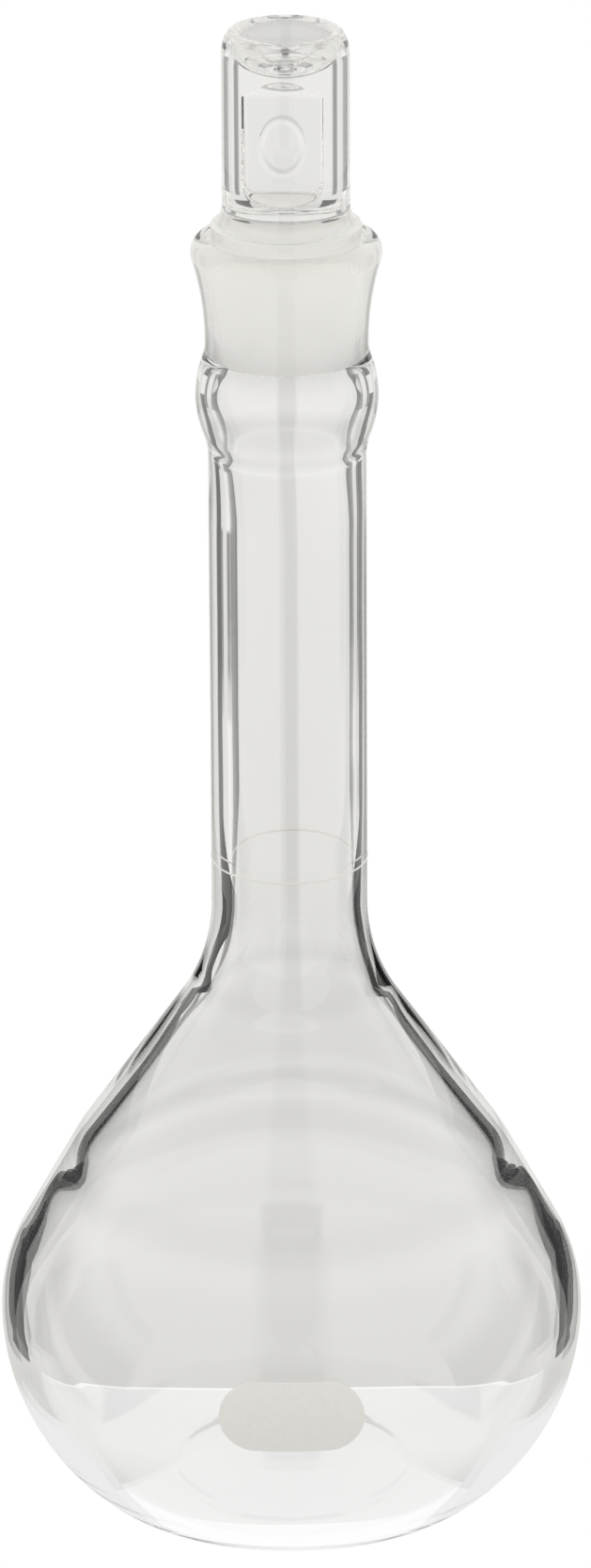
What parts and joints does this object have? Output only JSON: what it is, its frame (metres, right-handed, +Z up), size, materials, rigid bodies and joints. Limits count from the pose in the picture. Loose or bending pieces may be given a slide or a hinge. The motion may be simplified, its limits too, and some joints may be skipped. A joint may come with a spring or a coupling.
{
  "type": "volumetric flask",
  "caption": "Pear-shaped measuring flask with a flat foot, a long neck with a ring mark, and a ground mouth closed by a lift-out glass stopper.",
  "frame": {"origin": "on the flask's axis, at the plane its foot stands on", "axes": "+Z up along the neck; the marking spot faces -Y"},
  "size_m": [0.1086, 0.1087, 0.2839],
  "materials": {
    "clear_glass": "polished, colourless borosilicate",
    "ground_glass": "finely ground, frosted",
    "white_enamel": "matt fired enamel"
  },
  "bodies": {
    "flask": {"bulb": "clear_glass", "neck_tube": "clear_glass", "ground_socket": "ground_glass", "graduation_line": "white_enamel", "marking_spot": "white_enamel"},
    "stopper": {"stopper": "clear_glass"}
  },
  "joints": [
    {"name": "stopper_lift", "type": "slide", "parent": "flask", "child": "stopper", "axis": [0, 0, 1], "range_m": [0, 0.05]}
  ]
}
